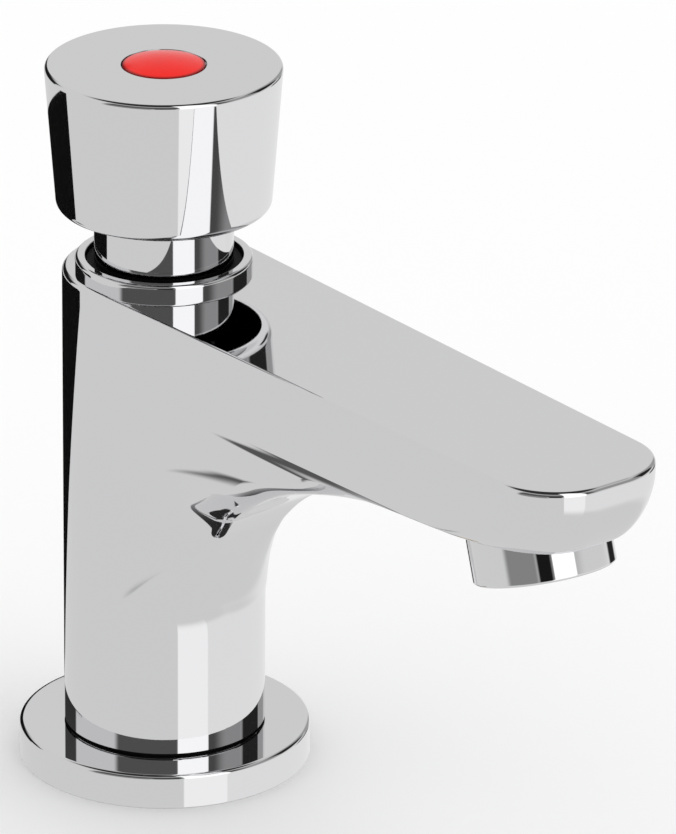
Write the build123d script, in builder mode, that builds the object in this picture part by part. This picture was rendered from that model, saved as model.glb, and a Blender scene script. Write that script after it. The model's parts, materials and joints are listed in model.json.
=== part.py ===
from build123d import *
import math
import os

os.makedirs("parts", exist_ok=True)

# Push timed basin tap. Origin on the tap's axis at the deck, +Z up, spout towards -Y.

# Overrun of a cutting shape past the face that it leaves
overrun = 1.0
# Radial gap of what slides, and of a soft ring in its groove
running_gap = 0.05
ring_gap = 0.04

# Base flange between deck and body
flange_radius = 27.5
flange_height = 6.7
flange_edge = 0.8
foot_step = 0.5
foot_height = 0.6

# Column and spout, which share one flat top
column_radius = 19.0
body_height = 98.65
arch_foot = 30.0
spout_reach = 131.4
tip_half_width = 16.2
top_edge = 1.0

# Outlines of the body at rising heights, from the arch's foot to the flat top. Each row gives
# the height between the two, the reach between column and tip, the half width at the front
# between column and tip, and the front corner's radius over that half width. The last one
# goes on straight up to the top.
body_outline_shares = [
    (0.000, 0.0000, 0.00, 0.994),
    (0.110, 0.0030, 0.02, 0.960),
    (0.210, 0.0150, 0.04, 0.880),
    (0.300, 0.0380, 0.09, 0.775),
    (0.375, 0.0740, 0.15, 0.690),
    (0.440, 0.1200, 0.22, 0.640),
    (0.505, 0.1780, 0.30, 0.610),
    (0.570, 0.2400, 0.42, 0.590),
    (0.625, 0.3050, 0.55, 0.590),
    (0.672, 0.3800, 0.72, 0.600),
    (0.705, 0.4550, 0.90, 0.620),
    (0.734, 0.5600, 1.15, 0.650),
    (0.758, 0.7000, 1.45, 0.680),
    (0.775, 0.8350, 1.72, 0.705),
    (0.783, 0.9150, 1.84, 0.740),
    (0.797, 0.9510, 1.76, 0.775),
    (0.833, 0.9750, 1.47, 0.792),
    (0.890, 0.9930, 1.18, 0.790),
    (0.950, 1.0000, 1.00, 0.784),
]

# Outlet under the tip: its mouth's place behind the tip and below the top, its lean forward
outlet_setback = 18.8
outlet_drop = 23.35
outlet_lean = 16.8
nozzle_radius = 13.0
nozzle_collar = 11.5
nozzle_seal_height = 0.6
nozzle_seal_width = 1.4
nozzle_thread_radius = 11.2
nozzle_thread_length = 4.0
nozzle_bore = 10.0
nozzle_lip = 1.0
nozzle_lip_width = 1.2
nozzle_edge = 0.5
nozzle_fit = 0.1

# Waterway from the column to the outlet
waterway_radius = 4.0
waterway_rise = 26.6
waterway_bend_share = 0.43
waterway_depth = 7.9

# Bores down the column
tail_socket_depth = 15.3
inlet_bore = 5.5
valve_room_height = 19.0
valve_room_radius = 9.5
seat_depth = 48.5
cage_bore = 12.5
bonnet_thread_radius = 13.9
bonnet_thread_depth = 14.5
thread_gap = 0.1

# Neck, screwed into the body's top
neck_radius = 13.0
neck_height = 18.0
neck_edge = 1.0
bonnet_depth = 18.5
cylinder_radius = 10.2
web_height = 2.0
web_bore = 3.4
gland_height = 2.4
bush_height = 6.0
bush_wall = 3.0
circlip_depth = 3.1
circlip_height = 0.9
circlip_groove = 0.8
circlip_width = 1.8
circlip_mouth = 3.4
stem_ring_wire = 2.1
bonnet_ring_wire = 1.8

# Ring round the neck
ring_setback = 2.4
ring_rim = 1.9
ring_base = 0.8
ring_height = 2.15
ring_edge = 0.7
shoulder_gap = 0.25
shoulder_height = 0.5

# Push knob, an upside-down cone with a flat top
knob_travel = 6.0
knob_lift = 3.8
knob_top_radius = 22.15
knob_bottom_radius = 20.0
knob_top_edge = 0.8
knob_bottom_edge = 1.7
knob_wall = 1.8
knob_roof = 4.5
hub_radius = 6.5
hub_lift = 1.7
hub_socket_depth = 7.0
hub_web = 2.2
index_radius = 7.7
index_gap = 0.2
index_depth = 1.6
index_rise = 1.1

# Screw and washer that hold the knob on the stem
screw_radius = 2.0
screw_hole_gap = 0.2
screw_head_radius = 3.8
screw_head_height = 2.0
screw_head_gap = 0.6
screw_length = 9.0
screw_socket = 1.4
screw_socket_depth = 1.1
knob_washer_radius = 4.6
knob_washer_height = 0.6
screw_recess_gap = 0.3

# Stem, from the valve up to the knob
stem_radius = 3.0
stem_flat = 2.4
stem_foot_radius = 2.2
stem_collar_radius = 4.4
stem_collar_height = 1.4
clip_groove = 0.6
clip_height = 0.8
clip_width = 1.6
clip_mouth = 3.4

# Timing piston and its seal
piston_drop = 6.0
piston_height = 7.0
piston_gap = 0.1
lip_groove_depth = 2.5
lip_groove_height = 3.4
lip_groove_rise = 1.8
lip_thickness = 0.9
bleed_radius = 0.4
bleed_reach = 5.6

# Return spring, a round wire coil between cage and piston
spring_radius = 7.0
spring_wire = 1.2
spring_turns = 4.5
spring_seat_gap = 0.05

# Valve cage with its windows and its seal
cage_wall = 2.2
cage_gap = 0.1
cage_room_height = 14.0
cage_web = 2.0
window_count = 4
window_width = 9.0
window_rise = 2.0
window_height = 9.0
cage_ring_wire = 1.5
cage_ring_drop = 3.0

# Valve seat, its gasket and the moving valve under it
gasket_height = 0.8
seat_height = 3.2
seat_bore = 5.6
seat_nose = 1.0
seat_nose_width = 1.2
valve_face_radius = 8.0
valve_face_height = 2.4
valve_cup_rim = 0.8
valve_cup_depth = 1.0
valve_disc_height = 2.6
disc_nut_height = 3.2
disc_nut_flats = 7.0
stem_end = 0.6

# Threaded tail, G 1/2, with a plain relief between its inlet and clamping threads
tail_radius = 10.4775
tail_length = 55.0
tail_bore = 6.0
tail_spigot_radius = 10.0
tail_edge = 0.8
inlet_length = 14.0
relief_width = 2.0
relief_depth = 1.1
tail_ring_wire = 1.8
tail_ring_drop = 5.0
flange_bore_gap = 0.3

# What is clamped on the tail under the deck
deck_thickness = 15.0
flange_seal_inner = 20.5
flange_seal_width = 4.5
flange_seal_height = 2.2
clamp_bore_gap = 0.3
deck_washer_width = 10.0
deck_washer_height = 3.0
clamp_washer_width = 8.0
clamp_washer_height = 1.6
back_nut_flats = 27.0
back_nut_height = 7.0
back_nut_collar = 1.4
nut_thread_gap = 0.08

# Strainer in the tail's mouth
strainer_rim_radius = 8.0
strainer_rim_height = 1.2
strainer_recess = 3.0
strainer_gap = 0.1
strainer_wall = 0.8
strainer_length = 12.0
strainer_slots = 6
strainer_slot_width = 1.4

# Spray insert, regulator and gauze in the outlet
insert_height = 4.5
insert_hole_radius = 0.7
insert_web = 1.5
insert_ring_shares = [(0.34, 6), (0.68, 12)]
regulator_height = 3.0
regulator_bore = 2.6
regulator_slots = 6
regulator_slot_radius = 1.0
screen_height = 0.8
screen_pitch = 2.5
screen_hole = 1.7
screen_columns = 7

# Levels that several pieces share, from the deck up
body_top = body_height
foot_radius = column_radius - foot_step
socket_top = flange_height + tail_socket_depth
seat_level = body_top - seat_depth
room_floor = seat_level - valve_room_height
bonnet_thread_foot = body_top - bonnet_thread_depth
bonnet_foot = body_top - bonnet_depth
neck_top = body_top + neck_height
bush_top = neck_top - circlip_depth
bush_foot = bush_top - bush_height
gland_floor = bush_foot - gland_height
cylinder_top = gland_floor - web_height
gasket_top = seat_level + gasket_height
seat_top = gasket_top + seat_height
cage_web_floor = seat_top + cage_room_height
spring_floor = cage_web_floor + cage_web
piston_top = cylinder_top - piston_drop
piston_foot = piston_top - piston_height
ring_top = body_top + ring_height
shoulder_level = body_top + ring_base
knob_bottom = ring_top + knob_travel + knob_lift
hub_foot = neck_top + knob_travel + hub_lift
hub_ledge = hub_foot + hub_socket_depth
screw_seat = hub_ledge + hub_web
index_floor = screw_seat + knob_washer_height + screw_head_height + screw_head_gap
knob_top = index_floor + index_depth
nose_foot = gasket_top - seat_nose
valve_cup_floor = nose_foot - valve_face_height
valve_disc_foot = valve_cup_floor - valve_disc_height
stem_foot = valve_disc_foot - disc_nut_height - stem_end

# Radii that fits share
bush_radius = stem_radius + bush_wall
circlip_radius = bush_radius + circlip_groove
ring_radius = column_radius - ring_setback
ring_bore = bonnet_thread_radius + thread_gap
rim_inner = ring_radius - ring_rim
shoulder_radius = rim_inner - shoulder_gap
cage_radius = cage_bore - cage_gap
cage_inner = cage_radius - cage_wall
piston_radius = cylinder_radius - piston_gap
lip_groove_radius = piston_radius - lip_groove_depth
tail_socket_radius = tail_spigot_radius + nozzle_fit
relief_radius = tail_radius - relief_depth
flange_bore = tail_radius + flange_bore_gap
clamp_bore = tail_radius + clamp_bore_gap
valve_disc_radius = valve_face_radius + valve_cup_rim

# The outlet's place, and heights along its own axis
outlet_reach = spout_reach - outlet_setback
outlet_height = body_top - outlet_drop
nozzle_pocket = nozzle_collar + nozzle_seal_height
nozzle_top = nozzle_collar + nozzle_thread_length
insert_top = nozzle_lip + insert_height
regulator_top = insert_top + regulator_height

# The clamped stack hangs below a deck of the given thickness
deck_washer_foot = -deck_thickness - deck_washer_height
clamp_washer_foot = deck_washer_foot - clamp_washer_height
back_nut_foot = clamp_washer_foot - back_nut_height


def save(piece, name):
    """Label a finished sub-part and write its STEP file."""
    piece.part.label = name
    export_step(piece.part, f"parts/{name}.step")


def leaning(height):
    """The plane square to the outlet's axis, at a height above its mouth."""
    lean = math.radians(outlet_lean)
    mouth = Plane(
        origin=(0, -outlet_reach, outlet_height),
        x_dir=(1, 0, 0),
        z_dir=(0, math.sin(lean), math.cos(lean)),
    )
    return mouth.offset(height)


def body_outline(reach, front_half, corner):
    """Round back, straight sides and a front with two rounded corners."""
    side_end = corner - reach
    bulge = corner * math.sqrt(0.5)
    corner_x = front_half - corner
    with BuildLine() as outline:
        ThreePointArc((column_radius, 0), (0, column_radius), (-column_radius, 0))
        Line((-column_radius, 0), (-front_half, side_end))
        ThreePointArc(
            (-front_half, side_end),
            (-corner_x - bulge, side_end - bulge),
            (-corner_x, -reach),
        )
        Line((-corner_x, -reach), (corner_x, -reach))
        ThreePointArc(
            (corner_x, -reach),
            (corner_x + bulge, side_end - bulge),
            (front_half, side_end),
        )
        Line((front_half, side_end), (column_radius, 0))
    return outline.line


# Body: a foot, the column, and one loft for arch, spout and tip
with BuildPart() as body:
    with BuildSketch(Plane.XY.offset(flange_height)):
        Circle(foot_radius)
    extrude(amount=foot_height)
    with BuildSketch(Plane.XY.offset(flange_height + foot_height)):
        Circle(column_radius)
    extrude(amount=arch_foot - flange_height - foot_height)
    for height_share, reach_share, taper_share, corner_share in body_outline_shares:
        height = arch_foot + height_share * (body_top - arch_foot)
        reach = column_radius + reach_share * (spout_reach - column_radius)
        front_half = column_radius - taper_share * (column_radius - tip_half_width)
        with BuildSketch(Plane.XY.offset(height)):
            add(body_outline(reach, front_half, corner_share * front_half))
            make_face()
    loft()
    with BuildSketch(Plane.XY.offset(height)):
        add(body_outline(reach, front_half, corner_share * front_half))
        make_face()
    extrude(amount=body_top - height)
    fillet(body.faces().sort_by(Axis.Z)[-1].edges(), radius=top_edge)
    # Bores down the column
    with BuildSketch(Plane.XZ):
        Polygon(
            (0, flange_height - overrun),
            (tail_socket_radius, flange_height - overrun),
            (tail_socket_radius, socket_top),
            (inlet_bore, socket_top),
            (inlet_bore, room_floor),
            (valve_room_radius, room_floor),
            (valve_room_radius, seat_level),
            (cage_bore, seat_level),
            (cage_bore, bonnet_thread_foot),
            (ring_bore, bonnet_thread_foot),
            (ring_bore, body_top + overrun),
            (0, body_top + overrun),
            align=None,
        )
    revolve(axis=Axis.Z, mode=Mode.SUBTRACT)
    # Rising and level stretches of the waterway
    start = Vector(0, -column_radius / 2, body_top - waterway_depth - waterway_rise)
    bend = Vector(0, -waterway_bend_share * outlet_reach, body_top - waterway_depth)
    with BuildSketch(Plane(origin=start, z_dir=bend - start)):
        Circle(waterway_radius)
    extrude(amount=(bend - start).length, mode=Mode.SUBTRACT)
    with Locations(bend):
        Sphere(waterway_radius, mode=Mode.SUBTRACT)
    with BuildSketch(Plane(origin=bend, z_dir=(0, -1, 0))):
        Circle(waterway_radius)
    extrude(amount=outlet_reach + bend.Y, mode=Mode.SUBTRACT)
    # Pocket and thread over the outlet
    with BuildSketch(leaning(-overrun)):
        Circle(nozzle_radius + nozzle_fit)
    extrude(amount=nozzle_pocket + overrun, mode=Mode.SUBTRACT)
    with BuildSketch(leaning(nozzle_pocket)):
        Circle(nozzle_thread_radius + nozzle_fit)
    extrude(amount=nozzle_top - nozzle_pocket + nozzle_fit, mode=Mode.SUBTRACT)
save(body, "body")

# Base flange, bored for the tail and grooved for its seal
with BuildPart() as base_flange:
    with BuildSketch():
        Circle(flange_radius)
        Circle(flange_bore, mode=Mode.SUBTRACT)
    extrude(amount=flange_height)
    fillet(
        base_flange.edges().filter_by(GeomType.CIRCLE).sort_by(SortBy.RADIUS)[-2:]
        .sort_by(Axis.Z)[-1],
        radius=flange_edge,
    )
    with BuildSketch():
        Circle(flange_seal_inner + flange_seal_width)
        Circle(flange_seal_inner, mode=Mode.SUBTRACT)
    extrude(amount=flange_seal_height, mode=Mode.SUBTRACT)
save(base_flange, "base_flange")

# Rubber ring in the flange's groove, flush with the deck
with BuildPart() as flange_seal:
    with BuildSketch():
        Circle(flange_seal_inner + flange_seal_width - ring_gap)
        Circle(flange_seal_inner + ring_gap, mode=Mode.SUBTRACT)
    extrude(amount=flange_seal_height)
save(flange_seal, "flange_seal")

# Threaded tail with a spigot in the body, a relief and a recess for the strainer
spigot_ring_level = socket_top - tail_ring_drop
ring_groove = tail_spigot_radius - tail_ring_wire + running_gap
with BuildPart() as shank_tail:
    with BuildSketch(Plane.XZ):
        Polygon(
            (tail_bore, strainer_recess - tail_length),
            (strainer_rim_radius, strainer_recess - tail_length),
            (strainer_rim_radius, -tail_length),
            (tail_radius - tail_edge, -tail_length),
            (tail_radius, tail_edge - tail_length),
            (tail_radius, inlet_length - tail_length),
            (relief_radius, inlet_length - tail_length),
            (relief_radius, inlet_length + relief_width - tail_length),
            (tail_radius, inlet_length + relief_width - tail_length),
            (tail_radius, 0),
            (tail_spigot_radius, 0),
            (tail_spigot_radius, spigot_ring_level - tail_ring_wire / 2),
            (ring_groove, spigot_ring_level - tail_ring_wire / 2),
            (ring_groove, spigot_ring_level + tail_ring_wire / 2),
            (tail_spigot_radius, spigot_ring_level + tail_ring_wire / 2),
            (tail_spigot_radius, socket_top),
            (tail_bore, socket_top),
            align=None,
        )
    revolve(axis=Axis.Z)
save(shank_tail, "shank_tail")


def o_ring(name, inner, outer, level):
    """A round ring that spans two radii about the axis at a level."""
    wire = (outer - inner) / 2 - ring_gap
    with BuildPart() as ring:
        with Locations((0, 0, level)):
            Torus((outer + inner) / 2, wire)
    save(ring, name)
    return ring


tail_o_ring = o_ring("tail_o_ring", ring_groove, tail_socket_radius, spigot_ring_level)

# Rubber washer, steel washer and nut under the deck
with BuildPart() as deck_washer:
    with BuildSketch(Plane.XY.offset(deck_washer_foot)):
        Circle(clamp_bore + deck_washer_width)
        Circle(clamp_bore, mode=Mode.SUBTRACT)
    extrude(amount=deck_washer_height)
save(deck_washer, "deck_washer")

with BuildPart() as clamp_washer:
    with BuildSketch(Plane.XY.offset(clamp_washer_foot)):
        Circle(clamp_bore + clamp_washer_width)
        Circle(clamp_bore, mode=Mode.SUBTRACT)
    extrude(amount=clamp_washer_height)
save(clamp_washer, "clamp_washer")

# Hexagon nut with a round collar against the washer and bevelled corners below
nut_corner = back_nut_flats / math.sqrt(3)
nut_bevel = nut_corner - back_nut_flats / 2
with BuildPart() as back_nut:
    with BuildSketch(Plane.XY.offset(back_nut_foot)):
        RegularPolygon(back_nut_flats / 2, 6, major_radius=False)
    extrude(amount=back_nut_height)
    with BuildSketch(Plane.XZ):
        Polygon(
            (tail_radius + nut_thread_gap, back_nut_foot),
            (nut_corner - nut_bevel, back_nut_foot),
            (nut_corner, back_nut_foot + nut_bevel / 2),
            (nut_corner, clamp_washer_foot - back_nut_collar),
            (back_nut_flats / 2, clamp_washer_foot - back_nut_collar),
            (back_nut_flats / 2, clamp_washer_foot),
            (tail_radius + nut_thread_gap, clamp_washer_foot),
            align=None,
        )
    revolve(axis=Axis.Z, mode=Mode.INTERSECT)
save(back_nut, "back_nut")

# Strainer, a slotted cup hung by its rim in the tail's mouth
strainer_foot = strainer_recess - tail_length - strainer_rim_height
strainer_radius = tail_bore - strainer_gap
with BuildPart() as inlet_strainer:
    with BuildSketch(Plane.XY.offset(strainer_foot)):
        Circle(strainer_rim_radius - strainer_gap)
    extrude(amount=strainer_rim_height)
    with BuildSketch(Plane.XY.offset(strainer_foot)):
        Circle(strainer_radius)
    extrude(amount=strainer_length)
    with BuildSketch(Plane.XY.offset(strainer_foot)):
        Circle(strainer_radius - strainer_wall)
    extrude(amount=strainer_length - strainer_wall, mode=Mode.SUBTRACT)
    with BuildSketch(Plane.XY.offset(strainer_foot + 2 * strainer_rim_height)):
        with PolarLocations(strainer_radius, strainer_slots):
            Rectangle(4 * strainer_wall, strainer_slot_width)
    extrude(amount=strainer_length - 3 * strainer_rim_height - strainer_wall, mode=Mode.SUBTRACT)
save(inlet_strainer, "inlet_strainer")

# Gasket and seat on the step of the column's bore
with BuildPart() as seat_gasket:
    with BuildSketch(Plane.XY.offset(seat_level)):
        Circle(cage_radius)
        Circle(valve_room_radius, mode=Mode.SUBTRACT)
    extrude(amount=gasket_height)
save(seat_gasket, "seat_gasket")

with BuildPart() as valve_seat:
    with BuildSketch(Plane.XZ):
        Polygon(
            (seat_bore, nose_foot),
            (seat_bore + seat_nose_width, nose_foot),
            (seat_bore + seat_nose_width, gasket_top),
            (cage_radius, gasket_top),
            (cage_radius, seat_top),
            (seat_bore, seat_top),
            align=None,
        )
    revolve(axis=Axis.Z)
save(valve_seat, "valve_seat")

# Cage: a sleeve with a spring floor over four windows, a ring groove near its top
cage_ring_level = bonnet_foot - cage_ring_drop
cage_groove = cage_radius - cage_ring_wire + running_gap
with BuildPart() as valve_cage:
    with BuildSketch(Plane.XZ):
        Polygon(
            (cage_inner, seat_top),
            (cage_radius, seat_top),
            (cage_radius, cage_ring_level - cage_ring_wire / 2),
            (cage_groove, cage_ring_level - cage_ring_wire / 2),
            (cage_groove, cage_ring_level + cage_ring_wire / 2),
            (cage_radius, cage_ring_level + cage_ring_wire / 2),
            (cage_radius, bonnet_foot),
            (cage_inner, bonnet_foot),
            (cage_inner, spring_floor),
            (web_bore, spring_floor),
            (web_bore, cage_web_floor),
            (cage_inner, cage_web_floor),
            align=None,
        )
    revolve(axis=Axis.Z)
    with BuildSketch(Plane.XY.offset(seat_top + window_rise)):
        with PolarLocations((cage_radius + cage_inner) / 2, window_count):
            Rectangle(3 * cage_wall, window_width)
    extrude(amount=window_height, mode=Mode.SUBTRACT)
save(valve_cage, "valve_cage")
cage_o_ring = o_ring("cage_o_ring", cage_groove, cage_bore, cage_ring_level)

# Neck: thread, shoulder on the ring, cylinder below and gland, bush seat and groove above
bonnet_ring_level = bonnet_thread_foot + bonnet_ring_wire / 2
bonnet_groove = bonnet_thread_radius - bonnet_ring_wire + running_gap
circlip_groove_height = circlip_height + 2 * running_gap
with BuildPart() as bonnet:
    with BuildSketch(Plane.XZ):
        Polygon(
            (cylinder_radius, bonnet_foot),
            (cage_radius, bonnet_foot),
            (cage_radius, bonnet_thread_foot),
            (bonnet_groove, bonnet_thread_foot),
            (bonnet_groove, bonnet_thread_foot + bonnet_ring_wire),
            (bonnet_thread_radius, bonnet_thread_foot + bonnet_ring_wire),
            (bonnet_thread_radius, shoulder_level),
            (shoulder_radius, shoulder_level),
            (shoulder_radius, shoulder_level + shoulder_height),
            (neck_radius, shoulder_level + shoulder_height),
            (neck_radius, neck_top - neck_edge),
            (neck_radius - neck_edge, neck_top),
            (bush_radius + running_gap, neck_top),
            (bush_radius + running_gap, bush_top + circlip_groove_height),
            (circlip_radius + running_gap, bush_top + circlip_groove_height),
            (circlip_radius + running_gap, bush_top),
            (bush_radius + running_gap, bush_top),
            (bush_radius + running_gap, bush_foot),
            (stem_radius + stem_ring_wire, bush_foot),
            (stem_radius + stem_ring_wire, gland_floor),
            (web_bore, gland_floor),
            (web_bore, cylinder_top),
            (cylinder_radius, cylinder_top),
            align=None,
        )
    revolve(axis=Axis.Z)
save(bonnet, "bonnet")
bonnet_o_ring = o_ring("bonnet_o_ring", bonnet_groove, ring_bore, bonnet_ring_level)
stem_o_ring = o_ring(
    "stem_o_ring", stem_radius, stem_radius + stem_ring_wire, (gland_floor + bush_foot) / 2
)

# Low ring between neck and body, with a rounded rim
with BuildPart() as collar_ring:
    with BuildSketch(Plane.XZ) as ring_section:
        Polygon(
            (ring_bore, body_top),
            (ring_radius, body_top),
            (ring_radius, ring_top),
            (rim_inner, ring_top),
            (rim_inner, shoulder_level),
            (ring_bore, shoulder_level),
            align=None,
        )
        fillet(ring_section.vertices().group_by(Axis.Y)[-1].sort_by(Axis.X)[-1], radius=ring_edge)
    revolve(axis=Axis.Z)
save(collar_ring, "collar_ring")

# Bearing in the neck and the split ring over it
with BuildPart() as guide_bush:
    with BuildSketch(Plane.XY.offset(bush_foot)):
        Circle(bush_radius)
        Circle(stem_radius + running_gap, mode=Mode.SUBTRACT)
    extrude(amount=bush_height)
save(guide_bush, "guide_bush")

with BuildPart() as bush_circlip:
    with BuildSketch(Plane.XZ):
        Polygon(
            (circlip_radius - circlip_width, bush_top),
            (circlip_radius, bush_top),
            (circlip_radius, bush_top + circlip_height),
            (circlip_radius - circlip_width, bush_top + circlip_height),
            align=None,
        )
    revolve(axis=Axis.Z, revolution_arc=360 - math.degrees(circlip_mouth / circlip_radius))
save(bush_circlip, "bush_circlip")

# Stem: plain rod with a foot for the valve, a collar over the piston and flats for the knob
clip_top = piston_foot
clip_foot = clip_top - clip_height
with BuildPart() as stem:
    with BuildSketch(Plane.XZ):
        Polygon(
            (0, stem_foot),
            (stem_foot_radius, stem_foot),
            (stem_foot_radius, nose_foot),
            (stem_radius, nose_foot),
            (stem_radius, clip_foot),
            (stem_radius - clip_groove, clip_foot),
            (stem_radius - clip_groove, clip_top),
            (stem_radius, clip_top),
            (stem_radius, piston_top),
            (stem_collar_radius, piston_top),
            (stem_collar_radius, piston_top + stem_collar_height),
            (stem_radius, piston_top + stem_collar_height),
            (stem_radius, hub_ledge),
            (0, hub_ledge),
            align=None,
        )
    revolve(axis=Axis.Z)
    with BuildSketch(Plane.XY.offset(hub_foot)):
        Circle(2 * stem_radius)
        Rectangle(2 * stem_flat, 4 * stem_radius, mode=Mode.SUBTRACT)
    extrude(amount=hub_socket_depth + overrun, mode=Mode.SUBTRACT)
    with BuildSketch(Plane.XY.offset(hub_ledge)):
        Circle(screw_radius)
    extrude(amount=-screw_length, mode=Mode.SUBTRACT)
save(stem, "stem")

# Piston between collar and clip, with a groove for its seal and a bleed hole
lip_foot = piston_foot + lip_groove_rise
lip_top = lip_foot + lip_groove_height
with BuildPart() as piston:
    with BuildSketch(Plane.XZ):
        Polygon(
            (stem_radius, piston_foot),
            (piston_radius, piston_foot),
            (piston_radius, lip_foot),
            (lip_groove_radius, lip_foot),
            (lip_groove_radius, lip_top),
            (piston_radius, lip_top),
            (piston_radius, piston_top),
            (stem_radius, piston_top),
            align=None,
        )
    revolve(axis=Axis.Z)
    with BuildSketch(Plane.XY.offset(piston_foot)):
        with Locations((bleed_reach, 0)):
            Circle(bleed_radius)
    extrude(amount=piston_height, mode=Mode.SUBTRACT)
save(piston, "piston")

# Cup seal, a ring whose two lips open downwards
with BuildPart() as lip_seal:
    with BuildSketch(Plane.XZ):
        Polygon(
            (lip_groove_radius, lip_foot),
            (lip_groove_radius + lip_thickness, lip_foot),
            (lip_groove_radius + lip_thickness, lip_top - lip_thickness),
            (cylinder_radius - running_gap - lip_thickness, lip_top - lip_thickness),
            (cylinder_radius - running_gap - lip_thickness, lip_foot),
            (cylinder_radius - running_gap, lip_foot),
            (cylinder_radius - running_gap, lip_top),
            (lip_groove_radius, lip_top),
            align=None,
        )
    revolve(axis=Axis.Z)
save(lip_seal, "lip_seal")

# Spring clip under the piston, open on one side
with BuildPart() as piston_clip:
    with BuildSketch(Plane.XZ):
        Polygon(
            (stem_radius - clip_groove, clip_foot),
            (stem_radius + clip_width, clip_foot),
            (stem_radius + clip_width, clip_top),
            (stem_radius - clip_groove, clip_top),
            align=None,
        )
    revolve(axis=Axis.Z, revolution_arc=360 - math.degrees(clip_mouth / stem_radius))
save(piston_clip, "piston_clip")

# Return spring, one round wire on a helix from the cage's floor to the piston
spring_start = spring_floor + spring_wire / 2 + spring_seat_gap
spring_rise = piston_foot - spring_floor - spring_wire - 2 * spring_seat_gap
spring_pitch = spring_rise / spring_turns
with BuildPart() as return_spring:
    with BuildLine(Plane.XY.offset(spring_start)):
        coil = Helix(spring_pitch, spring_rise, spring_radius)
    with BuildSketch(Plane(origin=coil @ 0, z_dir=coil % 0)):
        Circle(spring_wire / 2)
    sweep(is_frenet=True)
save(return_spring, "return_spring")
slope = math.hypot(1, spring_pitch / (2 * math.pi * spring_radius))
print("spring's least gap between turns", round(spring_pitch / slope - spring_wire, 3))

# Valve under the seat: rubber face in a cup, held on the stem's foot by a nut
with BuildPart() as valve_washer:
    with BuildSketch(Plane.XY.offset(valve_cup_floor)):
        Circle(valve_face_radius)
        Circle(stem_foot_radius, mode=Mode.SUBTRACT)
    extrude(amount=valve_face_height)
save(valve_washer, "valve_washer")

with BuildPart() as valve_disc:
    with BuildSketch(Plane.XZ):
        Polygon(
            (stem_foot_radius, valve_disc_foot),
            (valve_disc_radius - valve_cup_rim, valve_disc_foot),
            (valve_disc_radius, valve_disc_foot + valve_cup_rim),
            (valve_disc_radius, valve_cup_floor + valve_cup_depth),
            (valve_face_radius, valve_cup_floor + valve_cup_depth),
            (valve_face_radius, valve_cup_floor),
            (stem_foot_radius, valve_cup_floor),
            align=None,
        )
    revolve(axis=Axis.Z)
save(valve_disc, "valve_disc")

with BuildPart() as disc_nut:
    with BuildSketch(Plane.XY.offset(valve_disc_foot - disc_nut_height)):
        RegularPolygon(disc_nut_flats / 2, 6, major_radius=False)
        Circle(stem_foot_radius, mode=Mode.SUBTRACT)
    extrude(amount=disc_nut_height)
save(disc_nut, "disc_nut")

# Push knob: hollow cone with a hub on the stem and recesses for screw and index
knob_rise = knob_top - knob_bottom
knob_flare = knob_top_radius - knob_bottom_radius
roof_level = knob_top - knob_roof
roof_radius = knob_top_radius - knob_flare * knob_roof / knob_rise - knob_wall
index_seat_radius = index_radius + index_gap
screw_recess_radius = knob_washer_radius + screw_recess_gap
with BuildPart() as push_knob:
    with BuildSketch(Plane.XZ) as knob_section:
        Polygon(
            (screw_radius + screw_hole_gap, hub_ledge),
            (hub_radius, hub_ledge),
            (hub_radius, roof_level),
            (roof_radius, roof_level),
            (knob_bottom_radius - knob_wall, knob_bottom),
            (knob_bottom_radius, knob_bottom),
            (knob_top_radius, knob_top),
            (index_seat_radius, knob_top),
            (index_seat_radius, index_floor),
            (screw_recess_radius, index_floor),
            (screw_recess_radius, screw_seat),
            (screw_radius + screw_hole_gap, screw_seat),
            align=None,
        )
        outer_corners = knob_section.vertices().sort_by(Axis.X)
        fillet(outer_corners[-1], radius=knob_top_edge)
        bottom_corner = knob_section.vertices().group_by(Axis.Y)[0].sort_by(Axis.X)[-1]
        fillet(bottom_corner, radius=knob_bottom_edge)
    revolve(axis=Axis.Z)
    with BuildSketch(Plane.XY.offset(hub_foot)):
        Circle(hub_radius)
    extrude(amount=hub_socket_depth)
    with BuildSketch(Plane.XY.offset(hub_foot)):
        Circle(stem_radius + running_gap)
        Rectangle(2 * (stem_flat + running_gap), 4 * stem_radius, mode=Mode.INTERSECT)
    extrude(amount=hub_socket_depth, mode=Mode.SUBTRACT)
save(push_knob, "push_knob")

# Red index disc with a domed face
with BuildPart() as index_disc:
    with BuildSketch(Plane.XZ):
        with BuildLine():
            dome_top = (0, knob_top + index_rise)
            rim = (index_radius, knob_top)
            TangentArc(dome_top, rim, tangent=(1, 0))
            Polyline(rim, (index_radius, index_floor), (0, index_floor), dome_top)
        make_face()
    revolve(axis=Axis.Z)
save(index_disc, "index_disc")

# Screw and washer under the disc
with BuildPart() as knob_washer:
    with BuildSketch(Plane.XY.offset(screw_seat)):
        Circle(knob_washer_radius)
        Circle(screw_radius, mode=Mode.SUBTRACT)
    extrude(amount=knob_washer_height)
save(knob_washer, "knob_washer")

head_level = screw_seat + knob_washer_height
head_top = head_level + screw_head_height
with BuildPart() as knob_screw:
    with BuildSketch(Plane.XY.offset(head_level)):
        Circle(screw_head_radius)
    extrude(amount=screw_head_height)
    with BuildSketch(Plane.XY.offset(head_level)):
        Circle(screw_radius)
    extrude(amount=-(knob_washer_height + hub_web + screw_length - stem_end))
    with BuildSketch(Plane.XY.offset(head_top)):
        RegularPolygon(screw_socket, 6, major_radius=False)
    extrude(amount=-screw_socket_depth, mode=Mode.SUBTRACT)
save(knob_screw, "knob_screw")

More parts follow.
